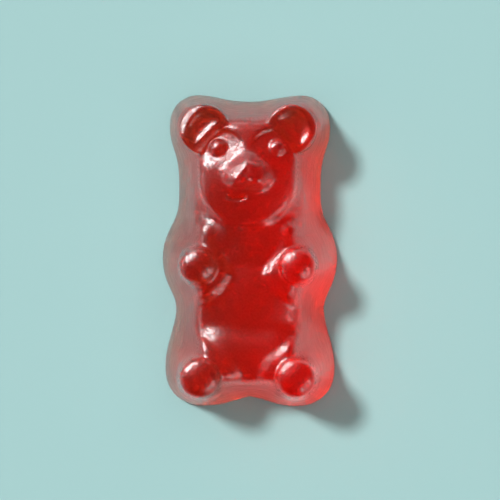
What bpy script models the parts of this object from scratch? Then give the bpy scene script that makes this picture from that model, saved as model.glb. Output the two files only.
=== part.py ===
"""A gummy bear lying on its flat back, head towards +Y and belly up, as one solid.

The shape is a signed distance rule: a number for every point of space that is negative inside the
sweet and positive outside. Named sizes give each ball, pillow and outline, smooth unions melt them
together as a starch mould does, and Geometry Nodes turns the surface where the number is zero into
a mesh. Sizes are in millimetres up to the tree's last node, which scales the mesh to metres.
"""

import math

import bmesh
import bpy

METRES_PER_MM = 0.001

# How finely the rule is sampled, and how many triangles the finished solid keeps.
VOXEL = 0.2
TRIANGLES = 9000
BACK_TRIM = 0.01
LOW_CORNER = (-6.9, -11.7, -0.7)
HIGH_CORNER = (6.9, 11.7, 9.7)

# Outline of the flat back. Discs are (across, along, radius) and mirrored to both sides; each
# "blend" is the width over which a shape melts into those before it.
BACK_HALF_WIDTH = 5.08
BACK_FOOT_END = -10.08
BACK_HEAD_END = 10.55
BACK_CORNER = 1.35
BACK_EAR, BACK_EAR_BLEND = (3.70, 8.72, 1.50), 3.5
BACK_ARM, BACK_ARM_BLEND = (1.90, -0.57, 4.35), 1.3
BACK_FOOT, BACK_FOOT_BLEND = (3.24, -8.22, 1.93), 5.6
BACK_RIM = 0.6

# Outline of the figure, where the relief stands on the sloping wall.
FIGURE_HEIGHT = 5.8
FIGURE_HALF_WIDTH = 3.65
FIGURE_FOOT_END = -9.40
FIGURE_HEAD_END = 9.25
FIGURE_CORNER = 1.5
FIGURE_EAR, FIGURE_EAR_BLEND = (3.27, 8.60, 1.46), 1.0
FIGURE_ARM, FIGURE_ARM_BLEND = (3.30, -1.10, 1.40), 1.6
FIGURE_FOOT, FIGURE_FOOT_BLEND = (3.25, -8.85, 1.40), 1.4
WALL_BULGE = 1.05
EDGE_ROUNDING = 1.0

# Trunk and belly: each is (top height, radius of the crown).
TRUNK_TOP, TRUNK_CROWN = 6.45, 9.0
BELLY_CENTRE, BELLY_TOP, BELLY_CROWN, BELLY_BLEND = (0.0, -3.2), 6.85, 9.0, 0.8

# Shoulders and hips: round bars across the body, given as (half length, along, top, radius). A
# collar bar, between two points in space, slopes down from each side of the chest to its shoulder.
SHOULDERS, SHOULDERS_BLEND = (1.2, 0.5, 6.85, 2.6), 0.6
COLLAR_START, COLLAR_END, COLLAR_RADIUS, COLLAR_BLEND = (1.55, 0.80, 5.15), (2.85, 1.60, 4.35), 1.8, 0.8
HIPS, HIPS_BLEND = (1.4, -7.3, 7.0, 4.0), 0.5

# Arms and legs widen to a pad under each paw and foot. A pad's edge is a quarter round.
ARM_START, ARM_START_RADIUS, ARM_PAD_RADIUS = (2.9, 0.9), 1.2, 2.85
ARM_TOP, ARM_EDGE, ARM_SLOPE, ARM_SLOPE_BLEND = 7.2, 1.5, 0.06, 0.5
LEG_START, LEG_START_RADIUS, LEG_PAD_RADIUS = (4.6, -7.0), 1.8, 2.9
LEG_TOP, LEG_EDGE = 7.32, 1.3
LIMB_BLEND = 0.5
PAW, PAW_RADIUS, PAW_TOP, PAW_CROWN, PAW_EDGE = (3.45, -1.10), 1.38, 8.05, 1.72, 0.25
FOOT, FOOT_RADIUS, FOOT_TOP, FOOT_CROWN, FOOT_EDGE = (3.32, -8.90), 1.5, 8.15, 2.3, 0.35
BUTTON_HEIGHT, BUTTON_DRAFT, BUTTON_BLEND = 6.5, math.radians(7), 0.35

# Head, with cheeks that fill it out towards the ears.
HEAD_OVAL, HEAD_HALF_WIDTH, HEAD_HALF_LENGTH = (0.0, 5.6), 3.75, 3.6
CHEEK, CHEEK_BLEND = (2.1, 6.95, 2.0), 0.8
HEAD_CENTRE, HEAD_TOP, HEAD_CROWN, HEAD_CROWN_BLEND = (0.0, 4.7), 7.6, 9.5, 0.4
HEAD_EDGE_TOP, HEAD_EDGE, HEAD_BLEND = 7.8, 0.7, 2.2

# Eye sockets: a disc of the head cut down to planes that fall away outwards and upwards.
SOCKET, SOCKET_RADIUS, SOCKET_HEIGHT = (1.76, 7.0), 1.6, 6.98
SOCKET_SLOPE, SOCKET_TURNS = math.radians(31), (math.radians(47), math.radians(67))
SOCKET_CORNER, SOCKET_BLEND = 0.1, 0.12
EYE, EYE_RADIUS, EYE_HEIGHT, EYE_BLEND = (2.02, 7.05), 0.66, 6.73, 0.12

# Ears: a disc cut off along the head by a leaning crest, and hollowed inside its rim. Distances of
# the crest, its foot and the hollow are inwards from the ear's centre, towards the head.
EAR, EAR_RADIUS, EAR_TOP, EAR_EDGE, EAR_BLEND = (3.05, 8.40), 1.74, 6.95, 0.25, 0.2
EAR_CREST, EAR_CREST_LEAN, EAR_CREST_FOOT, EAR_FOOT_BLEND = 0.5, math.radians(58), 1.15, 0.1
EAR_CREST_BLEND = 0.2
EAR_SLOPE, EAR_TURN, EAR_SLOPE_START, EAR_SLOPE_BLEND = math.radians(30), math.radians(30), 1.05, 0.15
EAR_RIM, EAR_HOLLOW_START, EAR_HOLLOW_CORNER = 0.45, 0.42, 0.2
EAR_DEPTH, EAR_FLOOR_BLEND, EAR_HOLLOW_BLEND = 0.28, 0.15, 0.08

# Snout: a rounded triangle whose sides lean, with a wider foot towards the eyes.
SNOUT_BRIDGE, SNOUT_BRIDGE_RADIUS = (0.0, 5.9), 0.65
SNOUT_SIDE, SNOUT_SIDE_RADIUS = (0.7, 4.85), 1.05
SNOUT_NOSE, SNOUT_NOSE_BLEND = (0.0, 4.95, 1.15), 0.6
SNOUT_SKIRT_START, SNOUT_SKIRT_GROWTH, SNOUT_SKIRT = 4.4, 0.35, 0.5
SNOUT_FOOT, SNOUT_LEAN = 7.3, math.radians(38)
SNOUT_EDGE_TOP, SNOUT_EDGE, SNOUT_BLEND = 9.1, 1.0, 0.4
SNOUT_CROWN_CENTRE, SNOUT_TOP, SNOUT_CROWN, SNOUT_CROWN_BLEND = (0.0, 4.7), 8.8, 2.5, 0.5

# Smile: a groove along an arc and a lip beside it, both measured in plan and at one height.
SMILE, SMILE_RADIUS, SMILE_HALF_WIDTH, SMILE_HEIGHT = (-0.75, 4.7), 1.12, 0.55, 7.36
LIP_OFFSET, LIP_THICKNESS, LIP_BLEND = 0.24, 0.22, 0.15
GROOVE_THICKNESS, GROOVE_BLEND = 0.12, 0.12

GEL_RED = (0.62, 0.004, 0.006, 1.0)
GEL_ROUGHNESS = 0.2


class Field:
    """A number with its own value at every point of space: one output socket of the tree."""

    tree = None

    def __init__(self, socket):
        self.socket = socket

    def __add__(self, other):
        return calc("ADD", self, other)

    def __sub__(self, other):
        return calc("SUBTRACT", self, other)

    def __rsub__(self, other):
        return calc("SUBTRACT", other, self)

    def __mul__(self, other):
        return calc("MULTIPLY", self, other)

    def __truediv__(self, other):
        return calc("DIVIDE", self, other)

    def __neg__(self):
        return calc("MULTIPLY", self, -1.0)


def calc(operation, *values):
    """One Math node on fields or plain numbers."""
    node = Field.tree.nodes.new("ShaderNodeMath")
    node.operation = operation
    for socket, value in zip(node.inputs, values):
        if isinstance(value, Field):
            Field.tree.links.new(value.socket, socket)
        else:
            socket.default_value = value
    return Field(node.outputs[0])


def union(a, b, blend):
    return calc("SMOOTH_MIN", a, b, blend)


def common(a, b, blend):
    return calc("SMOOTH_MAX", a, b, blend)


def cut(a, tool, blend):
    return common(a, -tool, blend)


def larger(a, b):
    return calc("MAXIMUM", a, b)


def smaller(a, b):
    return calc("MINIMUM", a, b)


def size_of(a):
    return calc("ABSOLUTE", a)


def length(*parts):
    """Length of the vector with these components."""
    total = parts[0] * parts[0]
    for part in parts[1:]:
        total = calc("MULTIPLY_ADD", part, part, total)
    return calc("SQRT", total)


def disc(x, y, centre, radius):
    """Plan distance from a disc."""
    return length(x - centre[0], y - centre[1]) - radius


def oval(x, y, centre, half_width, half_length):
    """Plan distance from an ellipse, exact at its edge."""
    across, along = x - centre[0], y - centre[1]
    near = length(across / half_width, along / half_length)
    slope = length(across / half_width**2, along / half_length**2)
    return near * (near - 1.0) / larger(slope, 1e-4)


def rectangle(x, y, half_width, low, high, corner):
    """Plan distance from a rectangle with round corners, as wide on both sides of x = 0."""
    across = size_of(x) - (half_width - corner)
    along = size_of(y - (low + high) / 2) - ((high - low) / 2 - corner)
    outside = length(larger(across, 0.0), larger(along, 0.0))
    return outside + smaller(larger(across, along), 0.0) - corner


def stick(x, y, start, end, start_radius, end_radius):
    """Plan distance from a bar between two points whose half width changes along it."""
    run = (end[0] - start[0], end[1] - start[1])
    share = ((x - start[0]) * run[0] + (y - start[1]) * run[1]) / (run[0] ** 2 + run[1] ** 2)
    share = smaller(larger(share, 0.0), 1.0)
    away = length(x - (share * run[0] + start[0]), y - (share * run[1] + start[1]))
    return away - (share * (end_radius - start_radius) + start_radius)


def crown(x, y, z, centre, top, radius):
    """Ball whose highest point is at the height top."""
    return length(x - centre[0], y - centre[1], z - (top - radius)) - radius


def barrel(x, z, top, radius):
    """Cylinder lying along Y whose highest line is at the height top."""
    return length(x, z - (top - radius)) - radius


def ball(x, y, z, centre, radius):
    return length(x - centre[0], y - centre[1], z - centre[2]) - radius


def rod(x, y, z, start, end, radius):
    """Bar with round ends between two points in space."""
    run = [b - a for a, b in zip(start, end)]
    offsets = [place - a for place, a in zip((x, y, z), start)]
    share = offsets[0] * run[0] + offsets[1] * run[1] + offsets[2] * run[2]
    share = smaller(larger(share / sum(step * step for step in run), 0.0), 1.0)
    return length(*[offset - share * step for offset, step in zip(offsets, run)]) - radius


def bolster(side_x, y, z, half_length, along, top, radius):
    """A round bar lying across the body, with ball ends."""
    return length(larger(side_x - half_length, 0.0), y - along, z - (top - radius)) - radius


def leaning(plan, z, foot, draft):
    """The side of a plan shape that is full size at the height foot and draws in above it."""
    return (plan + (z - foot) * math.tan(draft)) * math.cos(draft)


def slope_away(side_x, y, z, place, turn, slope, height):
    """Distance above a plane that has this height at a place and falls away in one direction."""
    along = (side_x - place[0]) * math.cos(turn) + (y - place[1]) * math.sin(turn)
    return (z - height + along * math.tan(slope)) * math.cos(slope)


def pillow(plan, z, top, edge):
    """A plan shape raised to the height top, with a quarter-round edge."""
    out, up = plan + edge, z - (top - edge)
    return length(larger(out, 0.0), larger(up, 0.0)) + smaller(larger(out, up), 0.0) - edge


def button(side_x, y, z, place, radius, top, crown_radius, edge):
    """A paw or a foot: a tapering peg under a round crown."""
    side = leaning(disc(side_x, y, place, radius), z, BUTTON_HEIGHT, BUTTON_DRAFT)
    return common(side, crown(side_x, y, z, place, top, crown_radius), edge)


def wall(x, side_x, y, z):
    """The sloping side, which runs from the back's outline in to the figure's and on upwards."""
    back = rectangle(x, y, BACK_HALF_WIDTH, BACK_FOOT_END, BACK_HEAD_END, BACK_CORNER)
    back = union(back, disc(side_x, y, BACK_EAR, BACK_EAR[2]), BACK_EAR_BLEND)
    back = union(back, disc(side_x, y, BACK_ARM, BACK_ARM[2]), BACK_ARM_BLEND)
    back = union(back, disc(side_x, y, BACK_FOOT, BACK_FOOT[2]), BACK_FOOT_BLEND)
    figure = rectangle(x, y, FIGURE_HALF_WIDTH, FIGURE_FOOT_END, FIGURE_HEAD_END, FIGURE_CORNER)
    figure = union(figure, disc(side_x, y, FIGURE_EAR, FIGURE_EAR[2]), FIGURE_EAR_BLEND)
    figure = union(figure, disc(side_x, y, FIGURE_ARM, FIGURE_ARM[2]), FIGURE_ARM_BLEND)
    figure = union(figure, disc(side_x, y, FIGURE_FOOT, FIGURE_FOOT[2]), FIGURE_FOOT_BLEND)
    share = calc("POWER", larger(z, 0.0) / FIGURE_HEIGHT, WALL_BULGE)
    return back + (figure - back) * share


def head(x, side_x, y, z):
    """A low crown inside the outline of the face, with a sloping socket round each eye."""
    plan = oval(x, y, HEAD_OVAL, HEAD_HALF_WIDTH, HEAD_HALF_LENGTH)
    plan = union(plan, disc(side_x, y, CHEEK, CHEEK[2]), CHEEK_BLEND)
    solid = pillow(plan, z, HEAD_EDGE_TOP, HEAD_EDGE)
    solid = common(solid, crown(x, y, z, HEAD_CENTRE, HEAD_TOP, HEAD_CROWN), HEAD_CROWN_BLEND)
    for turn in SOCKET_TURNS:
        floor = slope_away(side_x, y, z, SOCKET, turn, SOCKET_SLOPE, SOCKET_HEIGHT)
        socket = common(disc(side_x, y, SOCKET, SOCKET_RADIUS), -floor, SOCKET_CORNER)
        solid = cut(solid, socket, SOCKET_BLEND)
    return solid


def relief(x, side_x, y, z):
    """The top: trunk, belly, shoulders with their collar bars, hips, limbs and head, melted together."""
    top = barrel(x, z, TRUNK_TOP, TRUNK_CROWN)
    top = union(top, crown(x, y, z, BELLY_CENTRE, BELLY_TOP, BELLY_CROWN), BELLY_BLEND)
    top = union(top, bolster(side_x, y, z, *SHOULDERS), SHOULDERS_BLEND)
    top = union(top, rod(side_x, y, z, COLLAR_START, COLLAR_END, COLLAR_RADIUS), COLLAR_BLEND)
    top = union(top, bolster(side_x, y, z, *HIPS), HIPS_BLEND)
    arm = stick(side_x, y, ARM_START, PAW, ARM_START_RADIUS, ARM_PAD_RADIUS)
    arm = pillow(arm, z, ARM_TOP, ARM_EDGE)
    arm = common(arm, (z - ARM_TOP) + (y - PAW[1]) * ARM_SLOPE, ARM_SLOPE_BLEND)
    leg = stick(side_x, y, LEG_START, FOOT, LEG_START_RADIUS, LEG_PAD_RADIUS)
    leg = pillow(leg, z, LEG_TOP, LEG_EDGE)
    top = union(union(top, arm, LIMB_BLEND), leg, LIMB_BLEND)
    return union(top, head(x, side_x, y, z), HEAD_BLEND)


def ear(side_x, y, z):
    """A raised D that slopes off outwards, with a hollow inside its rim."""
    inwards = ((EAR[0] - side_x) + (EAR[1] - y)) * math.sqrt(0.5)
    crest = leaning(inwards - EAR_CREST, z, EAR_TOP, EAR_CREST_LEAN)
    crest = common(crest, inwards - EAR_CREST_FOOT, EAR_FOOT_BLEND)
    plan = common(disc(side_x, y, EAR, EAR_RADIUS), crest, EAR_CREST_BLEND)
    start = (EAR[0] + EAR_SLOPE_START * math.cos(EAR_TURN), EAR[1] + EAR_SLOPE_START * math.sin(EAR_TURN))
    fall = slope_away(side_x, y, z, start, EAR_TURN, EAR_SLOPE, EAR_TOP)
    solid = common(pillow(plan, z, EAR_TOP, EAR_EDGE), fall, EAR_SLOPE_BLEND)
    hollow = disc(side_x, y, EAR, EAR_RADIUS - EAR_RIM)
    hollow = common(hollow, inwards - EAR_HOLLOW_START, EAR_HOLLOW_CORNER)
    below = EAR_TOP - z
    sides = (below + hollow * math.tan(EAR_SLOPE)) * math.cos(EAR_SLOPE)
    return cut(solid, common(sides, below - EAR_DEPTH, EAR_FLOOR_BLEND), EAR_HOLLOW_BLEND)


def snout(x, side_x, y, z):
    """A rounded triangle, narrow at the bridge and wide above the mouth."""
    plan = stick(side_x, y, SNOUT_BRIDGE, SNOUT_SIDE, SNOUT_BRIDGE_RADIUS, SNOUT_SIDE_RADIUS)
    plan = union(plan, disc(x, y, SNOUT_NOSE, SNOUT_NOSE[2]), SNOUT_NOSE_BLEND)
    skirt = smaller(larger((y - SNOUT_SKIRT_START) * SNOUT_SKIRT_GROWTH, 0.0), SNOUT_SKIRT)
    solid = pillow(leaning(plan - skirt, z, SNOUT_FOOT, SNOUT_LEAN), z, SNOUT_EDGE_TOP, SNOUT_EDGE)
    return common(solid, crown(x, y, z, SNOUT_CROWN_CENTRE, SNOUT_TOP, SNOUT_CROWN), SNOUT_CROWN_BLEND)


def arc(x, y, radius):
    """Plan distance from the lower arc of a circle round the smile's centre."""
    along = length(x - SMILE[0], y - SMILE[1])
    beyond = larger(size_of(x - SMILE[0]) - SMILE_HALF_WIDTH, 0.0)
    return length(along - radius, beyond, larger(y - SMILE[1], 0.0))


def bear(x, y, z):
    """The whole rule. side_x is the distance from the middle, which mirrors what comes in pairs."""
    side_x = size_of(x)
    solid = common(wall(x, side_x, y, z), relief(x, side_x, y, z), EDGE_ROUNDING)
    solid = union(solid, ear(side_x, y, z), EAR_BLEND)
    paw = button(side_x, y, z, PAW, PAW_RADIUS, PAW_TOP, PAW_CROWN, PAW_EDGE)
    foot = button(side_x, y, z, FOOT, FOOT_RADIUS, FOOT_TOP, FOOT_CROWN, FOOT_EDGE)
    solid = union(union(solid, paw, BUTTON_BLEND), foot, BUTTON_BLEND)
    solid = union(solid, snout(x, side_x, y, z), SNOUT_BLEND)
    solid = union(solid, ball(side_x, y, z, EYE + (EYE_HEIGHT,), EYE_RADIUS), EYE_BLEND)
    lip = length(arc(x, y, SMILE_RADIUS + LIP_OFFSET), z - SMILE_HEIGHT) - LIP_THICKNESS
    solid = union(solid, lip, LIP_BLEND)
    groove = length(arc(x, y, SMILE_RADIUS), larger(SMILE_HEIGHT - z, 0.0)) - GROOVE_THICKNESS
    solid = cut(solid, groove, GROOVE_BLEND)
    return common(solid, -z, BACK_RIM)


def shape_tree():
    """Geometry Nodes that sample the rule on a grid of voxels and mesh its zero surface."""
    tree = bpy.data.node_groups.new("bear_shape", "GeometryNodeTree")
    tree.interface.new_socket("Geometry", in_out="OUTPUT", socket_type="NodeSocketGeometry")
    Field.tree = tree
    position = tree.nodes.new("GeometryNodeInputPosition")
    split = tree.nodes.new("ShaderNodeSeparateXYZ")
    tree.links.new(position.outputs["Position"], split.inputs["Vector"])
    inside = -bear(*(Field(socket) for socket in split.outputs))
    volume = tree.nodes.new("GeometryNodeVolumeCube")
    volume.inputs["Background"].default_value = -1.0
    volume.inputs["Min"].default_value = LOW_CORNER
    volume.inputs["Max"].default_value = HIGH_CORNER
    for axis, low, high in zip("XYZ", LOW_CORNER, HIGH_CORNER):
        volume.inputs["Resolution " + axis].default_value = round((high - low) / VOXEL) + 1
    tree.links.new(inside.socket, volume.inputs["Density"])
    surface = tree.nodes.new("GeometryNodeVolumeToMesh")
    surface.inputs["Threshold"].default_value = 0.0
    tree.links.new(volume.outputs["Volume"], surface.inputs["Volume"])
    scale = tree.nodes.new("GeometryNodeTransform")
    scale.inputs["Scale"].default_value = (METRES_PER_MM,) * 3
    tree.links.new(surface.outputs["Mesh"], scale.inputs["Geometry"])
    output = tree.nodes.new("NodeGroupOutput")
    tree.links.new(scale.outputs["Geometry"], output.inputs["Geometry"])
    return tree


def evaluated_mesh(obj):
    """A plain mesh of the object with its modifiers applied."""
    graph = bpy.context.evaluated_depsgraph_get()
    return bpy.data.meshes.new_from_object(obj.evaluated_get(graph), depsgraph=graph)


def flatten_back(mesh):
    """Trims the lowest hundredth of a millimetre, so that the back is one true plane at z = 0."""
    trim = BACK_TRIM * METRES_PER_MM
    bm = bmesh.new()
    bm.from_mesh(mesh)
    geometry = bm.verts[:] + bm.edges[:] + bm.faces[:]
    cut_edges = bmesh.ops.bisect_plane(
        bm, geom=geometry, plane_co=(0, 0, trim), plane_no=(0, 0, -1), clear_outer=True
    )["geom_cut"]
    bmesh.ops.edgenet_fill(bm, edges=[item for item in cut_edges if isinstance(item, bmesh.types.BMEdge)])
    bmesh.ops.recalc_face_normals(bm, faces=bm.faces[:])
    bmesh.ops.translate(bm, verts=bm.verts[:], vec=(0, 0, -trim))
    bm.to_mesh(mesh)
    bm.free()


def gel_material():
    material = bpy.data.materials.new("red_gel")
    material.use_nodes = True
    shader = material.node_tree.nodes["Principled BSDF"]
    shader.inputs["Base Color"].default_value = GEL_RED
    shader.inputs["Roughness"].default_value = GEL_ROUGHNESS
    shader.inputs["Metallic"].default_value = 0.0
    material.diffuse_color = GEL_RED
    return material


def make_bear():
    obj = bpy.data.objects.new("gummy_bear", bpy.data.meshes.new("grid"))
    bpy.context.scene.collection.objects.link(obj)
    obj.modifiers.new("shape", "NODES").node_group = shape_tree()
    obj.data = evaluated_mesh(obj)
    obj.modifiers.clear()
    obj.data.calc_loop_triangles()
    decimate = obj.modifiers.new("fewer_triangles", "DECIMATE")
    decimate.ratio = TRIANGLES / len(obj.data.loop_triangles)
    obj.data = evaluated_mesh(obj)
    obj.modifiers.clear()
    flatten_back(obj.data)
    obj.data.materials.clear()
    obj.data.materials.append(gel_material())
    obj.data.shade_smooth()
    return obj


for old in list(bpy.data.objects):
    bpy.data.objects.remove(old)
bear_object = make_bear()
print(bear_object.name, [round(side * 1000, 2) for side in bear_object.dimensions], "mm")
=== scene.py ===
# %% [markdown]
# # A red gummy bear
#
# A gummy bear is one piece of gel. Warm gelatine and glucose syrup are poured into a bear-shaped
# hollow pressed in a tray of starch, and the open top of the pour sets flat and becomes the bear's
# back. So the sweet is a relief: ears, face, belly, paws and feet stand on a body whose walls slope
# outwards down to the flat back that it lies on.
#
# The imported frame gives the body's size and place. Everything below is made round it.

# %% Load the frame
import math

import bpy
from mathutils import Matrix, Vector


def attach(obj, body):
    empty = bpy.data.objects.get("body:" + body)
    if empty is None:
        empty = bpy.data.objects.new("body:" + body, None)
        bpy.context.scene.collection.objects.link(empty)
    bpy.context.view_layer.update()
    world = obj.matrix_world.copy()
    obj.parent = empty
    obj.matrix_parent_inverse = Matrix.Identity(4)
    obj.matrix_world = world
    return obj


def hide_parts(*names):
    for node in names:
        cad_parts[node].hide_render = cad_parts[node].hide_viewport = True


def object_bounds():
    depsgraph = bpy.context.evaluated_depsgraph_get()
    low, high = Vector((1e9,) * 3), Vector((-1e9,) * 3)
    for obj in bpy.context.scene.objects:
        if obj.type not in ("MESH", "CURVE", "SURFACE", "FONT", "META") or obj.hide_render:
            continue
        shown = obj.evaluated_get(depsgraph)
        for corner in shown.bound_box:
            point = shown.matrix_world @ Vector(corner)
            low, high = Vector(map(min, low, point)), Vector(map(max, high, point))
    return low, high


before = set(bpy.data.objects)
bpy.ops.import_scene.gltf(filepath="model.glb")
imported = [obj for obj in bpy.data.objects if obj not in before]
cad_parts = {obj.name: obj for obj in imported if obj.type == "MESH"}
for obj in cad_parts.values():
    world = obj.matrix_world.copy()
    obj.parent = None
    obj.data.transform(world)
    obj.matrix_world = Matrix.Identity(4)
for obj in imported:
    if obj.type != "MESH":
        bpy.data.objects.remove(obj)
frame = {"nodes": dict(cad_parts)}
cad_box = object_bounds()
BACK_Z = cad_box[0][2]
print("the frame's box in mm:", [[round(1000 * value, 2) for value in corner] for corner in cad_box])

# %% [markdown]
# ## A shape made by a rule
#
# Such a soft form could be sculpted, or cut from balls with Booleans and smoothed. Here it follows a
# rule instead, a signed distance: for every point of space the rule gives about how far it is from
# the skin, less than zero inside the gel and more than zero outside. Distances are easy to blend, so
# shapes melt into each other as they do in a mould with no sharp corner.
#
# Geometry Nodes can work such a rule out with Math nodes. A Field below is one output socket of the
# tree, and Python's own + - * / on fields add the Math nodes, so each rule reads as a formula. Sizes
# are in millimetres until the last node of the tree.

# %% Fields: formulas that build Math nodes
MM = 0.001


class Field:
    """A number with its own value at every point of space: one output socket of the tree."""

    tree = None
    frame = None

    def __init__(self, socket):
        self.socket = socket

    def __add__(self, other):
        return calc("ADD", self, other)

    def __sub__(self, other):
        return calc("SUBTRACT", self, other)

    def __rsub__(self, other):
        return calc("SUBTRACT", other, self)

    def __mul__(self, other):
        return calc("MULTIPLY", self, other)

    def __truediv__(self, other):
        return calc("DIVIDE", self, other)

    def __neg__(self):
        return calc("MULTIPLY", self, -1.0)


def calc(operation, *values):
    """One Math node on fields or plain numbers."""
    node = Field.tree.nodes.new("ShaderNodeMath")
    node.operation = operation
    node.parent = Field.frame
    for socket, value in zip(node.inputs, values):
        if isinstance(value, Field):
            Field.tree.links.new(value.socket, socket)
        else:
            socket.default_value = value
    return Field(node.outputs[0])


def chapter(title):
    """Nodes made from here on sit in a frame with this title."""
    Field.frame = Field.tree.nodes.new("NodeFrame")
    Field.frame.label = title


# %% [markdown]
# Two distances joined by a plain minimum meet in a sharp crease. The smooth minimum rounds the crease
# over a width called the blend: small blends keep a foot apart from its leg, large ones let the chin
# run into the chest.

# %% Ways to join and cut
def union(a, b, blend):
    return calc("SMOOTH_MIN", a, b, blend)


def common(a, b, blend):
    return calc("SMOOTH_MAX", a, b, blend)


def cut(a, tool, blend):
    return common(a, -tool, blend)


def larger(a, b):
    return calc("MAXIMUM", a, b)


def smaller(a, b):
    return calc("MINIMUM", a, b)


def size_of(a):
    return calc("ABSOLUTE", a)


def length(*parts):
    """Length of the vector with these components."""
    total = parts[0] * parts[0]
    for part in parts[1:]:
        total = calc("MULTIPLY_ADD", part, part, total)
    return calc("SQRT", total)


# %% [markdown]
# Most of the bear is drawn in plan, as seen from above, because a pressed mould is drawn that way.

# %% Shapes in plan
def disc(x, y, centre, radius):
    return length(x - centre[0], y - centre[1]) - radius


def oval(x, y, centre, half_width, half_length):
    """Distance from an ellipse, exact at its edge."""
    across, along = x - centre[0], y - centre[1]
    near = length(across / half_width, along / half_length)
    slope = length(across / half_width**2, along / half_length**2)
    return near * (near - 1.0) / larger(slope, 1e-4)


def rectangle(x, y, half_width, low, high, corner):
    """Distance from a rectangle with round corners, as wide on both sides of x = 0."""
    across = size_of(x) - (half_width - corner)
    along = size_of(y - (low + high) / 2) - ((high - low) / 2 - corner)
    outside = length(larger(across, 0.0), larger(along, 0.0))
    return outside + smaller(larger(across, along), 0.0) - corner


def stick(x, y, start, end, start_radius, end_radius):
    """Distance from a bar between two points whose half width changes along it."""
    run = (end[0] - start[0], end[1] - start[1])
    share = ((x - start[0]) * run[0] + (y - start[1]) * run[1]) / (run[0] ** 2 + run[1] ** 2)
    share = smaller(larger(share, 0.0), 1.0)
    away = length(x - (share * run[0] + start[0]), y - (share * run[1] + start[1]))
    return away - (share * (end_radius - start_radius) + start_radius)


# %% [markdown]
# A plan shape becomes relief in one of three ways: as a pillow with a quarter-round edge, as a
# button whose side leans inwards so that it leaves the mould, or under a crown, a large ball or
# barrel that only lends its top.

# %% Shapes in the round
def crown(x, y, z, centre, top, radius):
    """Ball whose highest point is at the height top."""
    return length(x - centre[0], y - centre[1], z - (top - radius)) - radius


def barrel(x, z, top, radius):
    """Cylinder lying along the body whose highest line is at the height top."""
    return length(x, z - (top - radius)) - radius


def ball(x, y, z, centre, radius):
    return length(x - centre[0], y - centre[1], z - centre[2]) - radius


def rod(x, y, z, start, end, radius):
    """Bar with round ends between two points in space."""
    run = [b - a for a, b in zip(start, end)]
    offsets = [place - a for place, a in zip((x, y, z), start)]
    share = offsets[0] * run[0] + offsets[1] * run[1] + offsets[2] * run[2]
    share = smaller(larger(share / sum(step * step for step in run), 0.0), 1.0)
    return length(*[offset - share * step for offset, step in zip(offsets, run)]) - radius


def pillow(plan, z, top, edge):
    out, up = plan + edge, z - (top - edge)
    return length(larger(out, 0.0), larger(up, 0.0)) + smaller(larger(out, up), 0.0) - edge


def leaning(plan, z, foot, degrees):
    """The side of a plan shape that is full size at the height foot and draws in above it."""
    draft = math.radians(degrees)
    return (plan + (z - foot) * math.tan(draft)) * math.cos(draft)


# %% [markdown]
# ## The tree and its named sizes
#
# The heights of the relief are what one would change to make a plumper or a flatter bear, so they
# are inputs of the tree with names. They show up on the modifier like any other setting. Python
# reads them as fields too.

# %% Start the tree
shape = bpy.data.node_groups.new("Gummy bear shape", "GeometryNodeTree")
Field.tree = shape
SIZES = {
    "Voxel": 0.12,
    "Trunk top": 6.45,
    "Belly top": 6.85,
    "Arm top": 7.2,
    "Paw top": 8.05,
    "Shoulder top": 6.85,
    "Hip top": 7.0,
    "Leg top": 7.32,
    "Foot top": 8.15,
    "Head top": 7.6,
    "Ear top": 6.95,
    "Snout top": 8.8,
    "Unevenness": 0.05,
    "Seed": 4.0,
}
shape.interface.new_socket("Geometry", in_out="OUTPUT", socket_type="NodeSocketGeometry")
sockets = {
    name: shape.interface.new_socket(name, in_out="INPUT", socket_type="NodeSocketFloat")
    for name in SIZES
}
sockets["Gel"] = shape.interface.new_socket("Gel", in_out="INPUT", socket_type="NodeSocketMaterial")
group_input = shape.nodes.new("NodeGroupInput")
named = {name: Field(group_input.outputs[name]) for name in SIZES}

chapter("Where am I")
position = shape.nodes.new("GeometryNodeInputPosition")
split = shape.nodes.new("ShaderNodeSeparateXYZ")
shape.links.new(position.outputs["Position"], split.inputs["Vector"])
X, Y, Z = (Field(socket) for socket in split.outputs)
SIDE = size_of(X)
print("named inputs:", ", ".join(SIZES))

# %% [markdown]
# ## The sloping wall
#
# The back's outline is wider than the figure on top, because the hollow in the starch widens upwards
# and the bear lies upside down to the way it was poured. The wall is a loft between two outlines:
# the back's at the bottom and the figure's at the height where the relief begins. Each outline is a
# round-cornered rectangle with discs melted on for ears, arms and feet. SIDE is the distance from
# the middle line, so each disc counts for both sides.

# %% The wall
FIGURE_HEIGHT = 5.8
WALL_BULGE = 1.05
PAW = (3.45, -1.10)
FOOT = (3.32, -8.90)
EAR = (3.05, 8.40)

chapter("Wall")
back = rectangle(X, Y, 5.08, -10.08, 10.55, 1.35)
back = union(back, disc(SIDE, Y, (3.70, 8.72), 1.50), 3.5)
back = union(back, disc(SIDE, Y, (1.90, -0.57), 4.35), 1.3)
back = union(back, disc(SIDE, Y, (3.24, -8.22), 1.93), 5.6)
figure = rectangle(X, Y, 3.65, -9.40, 9.25, 1.5)
figure = union(figure, disc(SIDE, Y, (3.27, 8.60), 1.46), 1.0)
figure = union(figure, disc(SIDE, Y, (3.30, -1.10), 1.40), 1.6)
figure = union(figure, disc(SIDE, Y, (3.25, -8.85), 1.40), 1.4)
rise = calc("POWER", larger(Z, 0.0) / FIGURE_HEIGHT, WALL_BULGE)
wall = back + (figure - back) * rise

# %% [markdown]
# ## Trunk, belly and limbs
#
# The trunk is the top of a barrel. The belly is a low ball on it. Each arm is a ridge from the
# shoulder to a pad under the paw, each leg a round thigh and a pad under the foot.

# %% Trunk and belly
chapter("Trunk and belly")
body = barrel(X, Z, named["Trunk top"], 9.0)
belly = crown(X, Y, Z, (0.0, -3.2), named["Belly top"], 9.0)
body = union(body, belly, 0.8)


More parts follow.
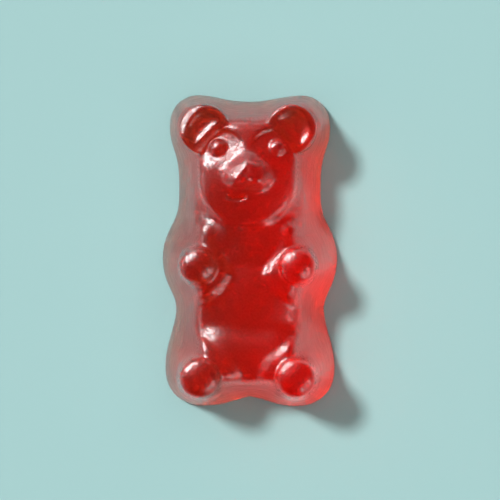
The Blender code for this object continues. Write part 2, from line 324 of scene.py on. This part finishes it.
def bolster(half_length, y, top, radius):
    """A round bar lying across the body with ball ends: shoulders and hips."""
    return length(larger(SIDE - half_length, 0.0), Y - y, Z - (top - radius)) - radius


body = union(body, bolster(1.2, 0.5, named["Shoulder top"], 2.6), 0.6)
body = union(body, rod(SIDE, Y, Z, (1.55, 0.80, 5.15), (2.85, 1.60, 4.35), 1.8), 0.8)
body = union(body, bolster(1.4, -7.3, named["Hip top"], 4.0), 0.5)

# %% Arms and legs
chapter("Arms and legs")
arm = pillow(stick(SIDE, Y, (2.9, 0.9), PAW, 1.2, 2.85), Z, named["Arm top"], 1.5)
arm = common(arm, (Z - named["Arm top"]) + (Y - PAW[1]) * 0.06, 0.5)
body = union(body, arm, 0.5)
leg = pillow(stick(SIDE, Y, (4.6, -7.0), FOOT, 1.8, 2.9), Z, named["Leg top"], 1.3)
body = union(body, leg, 0.5)

# %% [markdown]
# ## Head
#
# The head is the top of a ball inside an oval with full cheeks. Round each eye the mould is a
# shallow dish, cut here with two sloping planes inside a disc that lean the way the head's own surface leans there.

# %% Head and eye dishes
HEAD_CENTRE = (0.0, 4.7)
HEAD_CROWN = 9.5
SOCKET = (1.76, 7.0)
SOCKET_RADIUS = 1.6
SOCKET_DROP = 0.62
SOCKET_SLOPE = math.radians(31)
SOCKET_TURNS = (math.radians(47), math.radians(67))


def slope_away(place, turn, slope, height):
    """Height above a plane that falls away in one direction, square to the plane."""
    along = (SIDE - place[0]) * math.cos(turn) + (Y - place[1]) * math.sin(turn)
    return (Z - height + along * math.tan(slope)) * math.cos(slope)


chapter("Head")
head = oval(X, Y, (0.0, 5.6), 3.75, 3.6)
head = union(head, disc(SIDE, Y, (2.1, 6.95), 2.0), 0.8)
head = pillow(head, Z, named["Head top"] + 0.2, 0.7)
head = common(head, crown(X, Y, Z, HEAD_CENTRE, named["Head top"], HEAD_CROWN), 0.4)
for turn in SOCKET_TURNS:
    socket_floor = slope_away(SOCKET, turn, SOCKET_SLOPE, named["Head top"] - SOCKET_DROP)
    socket = common(disc(SIDE, Y, SOCKET, SOCKET_RADIUS), -socket_floor, 0.1)
    head = cut(head, socket, 0.12)
body = union(body, head, 2.2)

# %% [markdown]
# The relief so far has no sides. Common with the wall gives it the wall's, with a rounded shoulder.

# %% Body
chapter("Body")
bear = common(wall, body, 1.0)

# %% [markdown]
# ## Ears, paws and feet
#
# An ear is half a disc with a straight crest along the head, hollowed like a spoon. Paws and feet
# are buttons: a side that leans in a little, under a crown.

# %% Ears
EAR_RADIUS = 1.74
EAR_FLOOR_DEPTH = 0.28
EAR_SLOPE = 30
EAR_RIM = 0.45
EAR_FACET = 1.05

chapter("Ears")
inwards = ((EAR[0] - SIDE) + (EAR[1] - Y)) * math.sqrt(0.5)
crest = leaning(inwards - 0.5, Z, named["Ear top"], 58)
plan = common(disc(SIDE, Y, EAR, EAR_RADIUS), common(crest, inwards - 1.15, 0.1), 0.2)
hollow = common(disc(SIDE, Y, EAR, EAR_RADIUS - EAR_RIM), inwards - 0.42, 0.2)
ear = pillow(plan, Z, named["Ear top"], 0.25)
facet_turn = math.radians(30)
facet_place = (EAR[0] + EAR_FACET * math.cos(facet_turn), EAR[1] + EAR_FACET * math.sin(facet_turn))
facet = slope_away(facet_place, facet_turn, math.radians(EAR_SLOPE), named["Ear top"])
ear = common(ear, facet, 0.15)
rim_slope = math.radians(EAR_SLOPE)
below = named["Ear top"] - Z
spoon = (below + hollow * math.tan(rim_slope)) * math.cos(rim_slope)
spoon = common(spoon, below - EAR_FLOOR_DEPTH, 0.15)
ear = cut(ear, spoon, 0.08)
bear = union(bear, ear, 0.2)

# %% Paws and feet
BUTTON_FOOT_HEIGHT = 6.5
BUTTON_DRAFT = 7.0

chapter("Paws and feet")
for place, radius, top, crown_radius, edge in (
    (PAW, 1.38, named["Paw top"], 1.72, 0.25),
    (FOOT, 1.5, named["Foot top"], 2.3, 0.35),
):
    side = leaning(disc(SIDE, Y, place, radius), Z, BUTTON_FOOT_HEIGHT, BUTTON_DRAFT)
    button = common(side, crown(SIDE, Y, Z, place, top, crown_radius), edge)
    bear = union(bear, button, 0.35)

# %% [markdown]
# ## Face
#
# The snout is a rounded triangle with sides that lean, narrow at the bridge between the eyes. The
# eyes are small balls in their dishes. The mouth is a shallow smile with a raised lower lip.

# %% Snout
chapter("Snout")
snout = stick(SIDE, Y, (0.0, 5.9), (0.7, 4.85), 0.65, 1.05)
snout = union(snout, disc(X, Y, (0.0, 4.95), 1.15), 0.6)
skirt = smaller(larger((Y - 4.4) * 0.35, 0.0), 0.5)
snout = leaning(snout - skirt, Z, 7.3, 38)
snout = pillow(snout, Z, named["Snout top"] + 0.3, 1.0)
snout = common(snout, crown(X, Y, Z, (0.0, 4.7), named["Snout top"], 2.5), 0.5)
bear = union(bear, snout, 0.4)

# %% Eyes
EYE = (2.02, 7.05)
EYE_RADIUS = 0.66
EYE_SINK = 0.12

chapter("Eyes")
eye_height = SIZES["Head top"] - SOCKET_DROP - EYE_SINK
eye_height -= math.tan(SOCKET_SLOPE) * (
    (EYE[0] - SOCKET[0]) * math.cos(SOCKET_TURNS[0]) + (EYE[1] - SOCKET[1]) * math.sin(SOCKET_TURNS[0])
)
bear = union(bear, ball(SIDE, Y, Z, (EYE[0], EYE[1], eye_height), EYE_RADIUS), 0.12)

# %% Smile
SMILE = (-0.75, 4.7)
SMILE_RADIUS = 1.12
SMILE_HEIGHT = 7.36

chapter("Smile")


def arc(radius):
    """Plan distance from an arc under the snout, measured from its middle line."""
    along = length(X - SMILE[0], Y - SMILE[1])
    beyond = larger(size_of(X - SMILE[0]) - 0.55, 0.0)
    return length(along - radius, beyond, larger(Y - SMILE[1], 0.0))


lip = length(arc(SMILE_RADIUS + 0.24), Z - SMILE_HEIGHT) - 0.22
bear = union(bear, lip, 0.15)
groove = length(arc(SMILE_RADIUS), larger(SMILE_HEIGHT - Z, 0.0)) - 0.12
bear = cut(bear, groove, 0.12)

# %% [markdown]
# ## Finish of the form
#
# A rounded rim at the back, then a little unevenness: real sweets come out of the starch with slight
# dents and swellings a few millimetres across. A noise field added to the distance moves the skin
# in and out by that much.

# %% Rim and unevenness
chapter("Rim and unevenness")
noise = shape.nodes.new("ShaderNodeTexNoise")
noise.noise_dimensions = "4D"
noise.parent = Field.frame
noise.inputs["Scale"].default_value = 0.35
noise.inputs["Detail"].default_value = 1.0
shape.links.new(position.outputs["Position"], noise.inputs["Vector"])
shape.links.new(named["Seed"].socket, noise.inputs["W"])
waviness = (Field(noise.outputs["Fac"]) - 0.5) * named["Unevenness"] * 2.0
bear = common(bear + waviness, -Z, 0.6)

# %% [markdown]
# ## From the rule to a mesh
#
# A Volume Cube samples the rule on a grid of voxels, and Volume to Mesh puts faces where it is zero.
# The last nodes scale millimetres to metres, shade the mesh smooth, realize what is instanced and
# give it the gel.

# %% Volume, mesh and output
LOW_CORNER = (-6.9, -11.7, -0.7)
HIGH_CORNER = (6.9, 11.7, 9.7)

chapter("From rule to mesh")
volume = shape.nodes.new("GeometryNodeVolumeCube")
volume.parent = Field.frame
volume.inputs["Background"].default_value = -1.0
volume.inputs["Min"].default_value = LOW_CORNER
volume.inputs["Max"].default_value = HIGH_CORNER
for axis, low, high in zip("XYZ", LOW_CORNER, HIGH_CORNER):
    count = calc("DIVIDE", high - low, named["Voxel"])
    shape.links.new(count.socket, volume.inputs["Resolution " + axis])
shape.links.new((-bear).socket, volume.inputs["Density"])


def then(kind, output, **settings):
    """Adds a node that takes the geometry from this output and returns its own geometry output."""
    node = shape.nodes.new(kind)
    node.parent = Field.frame
    for name, value in settings.items():
        node.inputs[name].default_value = value
    shape.links.new(output, node.inputs[0])
    return node.outputs[0]


mesh = then("GeometryNodeVolumeToMesh", volume.outputs["Volume"], Threshold=0.0)
mesh = then("GeometryNodeTransform", mesh, Scale=(MM, MM, MM))
mesh = then("GeometryNodeSetShadeSmooth", mesh)
mesh = then("GeometryNodeRealizeInstances", mesh)
set_gel = shape.nodes.new("GeometryNodeSetMaterial")
shape.links.new(mesh, set_gel.inputs["Geometry"])
shape.links.new(group_input.outputs["Gel"], set_gel.inputs["Material"])
group_output = shape.nodes.new("NodeGroupOutput")
shape.links.new(set_gel.outputs["Geometry"], group_output.inputs["Geometry"])
print("nodes in the shape tree:", len(shape.nodes))

# %% [markdown]
# ## The gel
#
# Gelatine gel is clear, with a red dye that swallows green and blue within a millimetre or two, so
# thin rims look pale and orange and the middle deep red. That is a glass with an absorbing inside,
# not a red paint. The starch leaves a fine grain on the skin and a film of oil is wiped over it, so
# highlights are bright but break up into specks at their edges.

# %% Skin grain, as a node group
def add(tree, kind, **settings):
    """Adds a node and sets its inputs by name."""
    node = tree.nodes.new(kind)
    for name, value in settings.items():
        node.inputs[name.replace("_", " ")].default_value = value
    return node


skin = bpy.data.node_groups.new("Starch-cast skin", "ShaderNodeTree")
for name, low, high, start in (
    ("Grain scale", 0.0, 1e5, 3500.0),
    ("Speck scale", 0.0, 1e5, 6000.0),
    ("Pit scale", 0.0, 1e5, 900.0),
    ("Pits", 0.0, 1.0, 0.25),
):
    item = skin.interface.new_socket(name, in_out="INPUT", socket_type="NodeSocketFloat")
    item.min_value, item.max_value, item.default_value = low, high, start
skin.interface.new_socket("Height", in_out="OUTPUT", socket_type="NodeSocketFloat")
skin.interface.new_socket("Steepness", in_out="OUTPUT", socket_type="NodeSocketFloat")
skin.interface.new_socket("Specks", in_out="OUTPUT", socket_type="NodeSocketFloat")
skin_in = skin.nodes.new("NodeGroupInput")
skin_out = skin.nodes.new("NodeGroupOutput")
where = skin.nodes.new("ShaderNodeTexCoord")
grain = add(skin, "ShaderNodeTexNoise", Detail=1.0, Roughness=0.5)
pits = add(skin, "ShaderNodeTexNoise", Detail=1.0, Roughness=0.5)
layers = add(skin, "ShaderNodeMapping", Scale=(1.0, 1.0, 9.0))
streaks = add(skin, "ShaderNodeTexNoise", Scale=700.0, Detail=2.0, Roughness=0.6)
skin.links.new(where.outputs["Object"], layers.inputs["Vector"])
skin.links.new(layers.outputs["Vector"], streaks.inputs["Vector"])
blend_in = add(skin, "ShaderNodeMix")
for noise_node, size in ((grain, "Grain scale"), (pits, "Pit scale")):
    skin.links.new(where.outputs["Object"], noise_node.inputs["Vector"])
    skin.links.new(skin_in.outputs[size], noise_node.inputs["Scale"])
skin.links.new(skin_in.outputs["Pits"], blend_in.inputs["Factor"])
skin.links.new(grain.outputs["Fac"], blend_in.inputs["A"])
skin.links.new(pits.outputs["Fac"], blend_in.inputs["B"])
facing = skin.nodes.new("ShaderNodeSeparateXYZ")
skin.links.new(where.outputs["Normal"], facing.inputs["Vector"])
steep = add(skin, "ShaderNodeMapRange", From_Min=0.6, From_Max=0.3)
steep.interpolation_type = "SMOOTHSTEP"
skin.links.new(facing.outputs["Z"], steep.inputs["Value"])
height_split = skin.nodes.new("ShaderNodeSeparateXYZ")
skin.links.new(where.outputs["Object"], height_split.inputs["Vector"])
low = add(skin, "ShaderNodeMapRange", From_Min=0.0064, From_Max=0.0054)
low.interpolation_type = "SMOOTHSTEP"
skin.links.new(height_split.outputs["Z"], low.inputs["Value"])
skin.links.new(low.outputs["Result"], steep.inputs["To Max"])
skin.links.new(steep.outputs["Result"], skin_out.inputs["Steepness"])
Field.tree, Field.frame = skin, None
dust = add(skin, "ShaderNodeTexNoise", Detail=0.0)
specks = add(skin, "ShaderNodeMapRange", From_Min=0.46, From_Max=0.56)
skin.links.new(where.outputs["Object"], dust.inputs["Vector"])
skin.links.new(skin_in.outputs["Speck scale"], dust.inputs["Scale"])
skin.links.new(dust.outputs["Fac"], specks.inputs["Value"])
lines = add(skin, "ShaderNodeMapRange", From_Min=0.25, From_Max=0.8)
skin.links.new(streaks.outputs["Fac"], lines.inputs["Value"])
steepness = Field(steep.outputs["Result"])
oiled = Field(specks.outputs["Result"]) * (1.0 - steepness) + Field(lines.outputs["Result"]) * steepness
skin.links.new(oiled.socket, skin_out.inputs["Specks"])
ripple = Field(streaks.outputs["Fac"]) * Field(steep.outputs["Result"]) * 4.0
relief = Field(blend_in.outputs["Result"]) + ripple
skin.links.new(relief.socket, skin_out.inputs["Height"])

# %% Red gel
DYE_COLOR = (0.985, 0.31, 0.02, 1.0)
DYE_DENSITY = 550.0
GEL_IOR = 1.55
GEL_ROUGHNESS = 0.34
SPECK_ROUGHNESS = 0.3
WALL_ROUGHNESS = 0.42
GRAIN_HEIGHT = 0.00002
GRAIN_STRENGTH = 1.0

gel = bpy.data.materials.new("Red gel")
gel.use_nodes = True
gel_tree = gel.node_tree
gel_shader = gel_tree.nodes["Principled BSDF"]
gel_shader.inputs["Base Color"].default_value = (1.0, 1.0, 1.0, 1.0)
gel_shader.inputs["IOR"].default_value = GEL_IOR
gel_shader.inputs["Transmission Weight"].default_value = 1.0
gel_skin = gel_tree.nodes.new("ShaderNodeGroup")
gel_skin.node_tree = skin
gel_bump = add(gel_tree, "ShaderNodeBump", Strength=GRAIN_STRENGTH, Distance=GRAIN_HEIGHT)
gel_tree.links.new(gel_skin.outputs["Height"], gel_bump.inputs["Height"])
gel_tree.links.new(gel_bump.outputs["Normal"], gel_shader.inputs["Normal"])
gel_rough = add(gel_tree, "ShaderNodeMapRange", To_Max=WALL_ROUGHNESS)
gel_specks = add(gel_tree, "ShaderNodeMapRange", To_Min=GEL_ROUGHNESS, To_Max=SPECK_ROUGHNESS)
gel_tree.links.new(gel_skin.outputs["Specks"], gel_specks.inputs["Value"])
gel_tree.links.new(gel_specks.outputs["Result"], gel_rough.inputs["To Min"])
gel_tree.links.new(gel_skin.outputs["Steepness"], gel_rough.inputs["Value"])
gel_tree.links.new(gel_rough.outputs["Result"], gel_shader.inputs["Roughness"])
gel_tree.links.new(gel_skin.outputs["Specks"], gel_shader.inputs["Coat Weight"])
gel_shader.inputs["Coat Roughness"].default_value = 0.12
gel_shader.inputs["Coat IOR"].default_value = 1.65
dye = add(gel_tree, "ShaderNodeVolumeAbsorption", Color=DYE_COLOR, Density=DYE_DENSITY)
gel_tree.links.new(dye.outputs["Volume"], gel_tree.nodes["Material Output"].inputs["Volume"])

# %% [markdown]
# ## The bear itself
#
# The modifier goes on an empty mesh, and its inputs are set by the sockets' identifiers before the
# object is first worked out. The result is kept as a plain mesh.

# %% Make the bear
def plain_mesh(obj):
    """The object's mesh with its modifiers worked in."""
    graph = bpy.context.evaluated_depsgraph_get()
    return bpy.data.meshes.new_from_object(obj.evaluated_get(graph), depsgraph=graph)


gummy = bpy.data.objects.new("gummy_bear_gel", bpy.data.meshes.new("gummy_bear_gel"))
bpy.context.scene.collection.objects.link(gummy)
modifier = gummy.modifiers.new("Shape", "NODES")
modifier.node_group = shape
for name, value in SIZES.items():
    modifier[sockets[name].identifier] = value
modifier[sockets["Gel"].identifier] = gel
gummy.data = plain_mesh(gummy)
gummy.modifiers.clear()
gummy.data.calc_loop_triangles()
print("gel triangles:", len(gummy.data.loop_triangles), "size in mm:", [round(s / MM, 2) for s in gummy.dimensions])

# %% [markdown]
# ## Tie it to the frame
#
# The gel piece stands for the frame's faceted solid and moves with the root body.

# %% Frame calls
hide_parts("gummy_bear")
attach(gummy, "root")

# %% [markdown]
# ## Studio
#
# A pale blue-green floor, matt so that it shows no reflection.

# %% Floor
FLOOR_COLOR = (0.40, 0.64, 0.63, 1.0)
FLOOR_GAP = 0.00002
FLOOR_HALF = 2.0

floor_mesh = bpy.data.meshes.new("studio_floor")
corners = [(x, y, BACK_Z - FLOOR_GAP) for x, y in ((-1, -1), (1, -1), (1, 1), (-1, 1))]
floor_mesh.from_pydata([(x * FLOOR_HALF, y * FLOOR_HALF, z) for x, y, z in corners], [], [(0, 1, 2, 3)])
floor = bpy.data.objects.new("studio_floor", floor_mesh)
bpy.context.scene.collection.objects.link(floor)
paper = bpy.data.materials.new("Matt paper")
paper.use_nodes = True
paper_tree = paper.node_tree
paper_shader = paper_tree.nodes["Principled BSDF"]
paper_shader.inputs["Base Color"].default_value = FLOOR_COLOR
paper_shader.inputs["Roughness"].default_value = 0.9
paper_shader.inputs["Specular IOR Level"].default_value = 0.0
paper_skin = paper_tree.nodes.new("ShaderNodeGroup")
paper_skin.node_tree = skin
paper_skin.inputs["Grain scale"].default_value = 2500.0
paper_bump = add(paper_tree, "ShaderNodeBump", Strength=0.1, Distance=GRAIN_HEIGHT)
paper_tree.links.new(paper_skin.outputs["Height"], paper_bump.inputs["Height"])
paper_tree.links.new(paper_bump.outputs["Normal"], paper_shader.inputs["Normal"])
floor_mesh.materials.append(paper)

# %% [markdown]
# ## Light
#
# A lamp can be hidden from one kind of ray, which is how a photographer's flags and snoots are
# copied here. The key and the fill light the floor. The glow lamp stands where the key does, and
# only reaches the floor through the gel: it is what makes the light patches inside the bear. The
# softbox on the left and the card on the right are there for the highlights.

# %% Lamps
def polar(azimuth, elevation, distance):
    """A place round the bear: azimuth from +X towards +Y, elevation above the floor, in degrees."""
    turn, up = math.radians(azimuth), math.radians(elevation)
    flat = distance * math.cos(up)
    return Vector((flat * math.cos(turn), flat * math.sin(turn), distance * math.sin(up)))


def lamp(name, place, size, power, diffuse=False, glossy=False, transmission=False):
    """A rectangular area lamp aimed at the bear."""
    data = bpy.data.lights.new(name, "AREA")
    data.shape = "RECTANGLE"
    data.size, data.size_y = size
    data.energy = power
    obj = bpy.data.objects.new(name, data)
    bpy.context.scene.collection.objects.link(obj)
    obj.location = place
    obj.rotation_euler = (-place).to_track_quat("-Z", "Y").to_euler()
    obj.visible_diffuse = diffuse
    obj.visible_glossy = glossy
    obj.visible_transmission = transmission
    return obj


LEAK = 0.15


def gate(obj, rule):
    """Sets the lamp's strength by the path that its light has taken, from 0 to 1."""
    obj.data.use_nodes = True
    tree = obj.data.node_tree
    path = tree.nodes.new("ShaderNodeLightPath")
    Field.tree, Field.frame = tree, None
    strength = rule(Field(path.outputs["Transmission Depth"]), Field(path.outputs["Diffuse Depth"]))
    tree.links.new(strength.socket, tree.nodes["Emission"].inputs["Strength"])


def gloss_only(through, matt):
    """Seen in the skin's gloss, and not through the gel."""
    return calc("LESS_THAN", through, 0.5)


def inside_gel(through, matt):
    """Seen through the gel. Only a little of what has crossed the gel reaches the bare floor."""
    inside = calc("GREATER_THAN", through - matt * 2.0, 0.5)
    return larger(inside, calc("GREATER_THAN", through, 0.5) * LEAK)


def floor_under_gel(through, matt):
    """Lights the floor through the gel, and isn't seen in the gel itself."""
    return inside_gel(through, matt) * calc("GREATER_THAN", matt, 0.5)


KEY_AZIMUTH, KEY_ELEVATION = 143, 60
sun = bpy.data.lights.new("key", "SUN")
sun.energy = 2.36
sun.angle = math.radians(8.6)
key = bpy.data.objects.new("key", sun)
bpy.context.scene.collection.objects.link(key)
key.rotation_euler = (-polar(KEY_AZIMUTH, KEY_ELEVATION, 1.0)).to_track_quat("-Z", "Y").to_euler()
key.visible_glossy = False
key.visible_transmission = False
lamp("fill", Vector((0, 0, 0.5)), (0.8, 0.8), 1.5, diffuse=True)
KEY_GLOW_PLACE = polar(KEY_AZIMUTH, KEY_ELEVATION, 0.3)
gate(lamp("key_glow", KEY_GLOW_PLACE, (0.12, 0.12), 0.4, transmission=True), floor_under_gel)
gate(lamp("sky_glow", Vector((0, 0, 0.5)), (0.8, 0.8), 0.5, transmission=True), floor_under_gel)
gate(lamp("low_glow", polar(145, 18, 0.3), (0.4, 0.2), 5.5, transmission=True), floor_under_gel)
gate(lamp("side_glow", polar(130, 32, 0.3), (0.4, 0.3), 2.8, transmission=True), inside_gel)
gate(lamp("softbox", polar(131, 30, 0.3), (0.26, 0.16), 1.6, glossy=True), gloss_only)
gate(lamp("card", polar(-40, 32, 0.3), (0.25, 0.18), 0.28, glossy=True), gloss_only)

TENT_STRENGTH = 3.2
TENT_TOP = 0.75
world = bpy.data.worlds.new("Dim studio")
world.use_nodes = True
world_tree = world.node_tree
background = world_tree.nodes["Background"]
background.inputs["Color"].default_value = (1.0, 1.0, 1.0, 1.0)
Field.tree, Field.frame = world_tree, None
world_path = world_tree.nodes.new("ShaderNodeLightPath")
world_where = world_tree.nodes.new("ShaderNodeTexCoord")
world_split = world_tree.nodes.new("ShaderNodeSeparateXYZ")
world_tree.links.new(world_where.outputs["Generated"], world_split.inputs["Vector"])
fall = larger(1.0 - larger(Field(world_split.outputs["Z"]), 0.0) / TENT_TOP, 0.0)
shown = gloss_only(Field(world_path.outputs["Transmission Depth"]), None) * Field(world_path.outputs["Is Glossy Ray"])
def towards(azimuth, power):
    """How much a direction near the horizon points this way, from 0 to 1."""
    turn = math.radians(azimuth)
    share = Field(world_split.outputs["X"]) * math.cos(turn) + Field(world_split.outputs["Y"]) * math.sin(turn)
    return calc("POWER", larger(share, 0.0), power)


sides = towards(135, 1.0) * 1.6 + towards(-20, 4.0) * 0.3
tent = calc("POWER", fall, 4.0) * sides * TENT_STRENGTH * shown + 0.02
world_tree.links.new(tent.socket, background.inputs["Strength"])
bpy.context.scene.world = world
bpy.context.scene.view_settings.view_transform = "Standard"

# %% [markdown]
# ## Camera
#
# It looks straight down from a little to the bear's own left, with a long lens as for a close-up of
# something this small.

# %% Camera
CAMERA_DISTANCE = 0.4
CAMERA_TILT = math.radians(1.3)
VIEW_WIDTH = 0.03537
SENSOR = 36.0

camera = bpy.data.objects.new("camera", bpy.data.cameras.new("camera"))
bpy.context.scene.collection.objects.link(camera)
camera.data.sensor_width = SENSOR
camera.data.lens = SENSOR * CAMERA_DISTANCE / VIEW_WIDTH
camera.data.clip_start = 0.01
camera.location = (CAMERA_DISTANCE * math.sin(CAMERA_TILT), 0, CAMERA_DISTANCE * math.cos(CAMERA_TILT))
camera.rotation_euler = (0, CAMERA_TILT, 0)
bpy.context.scene.camera = camera
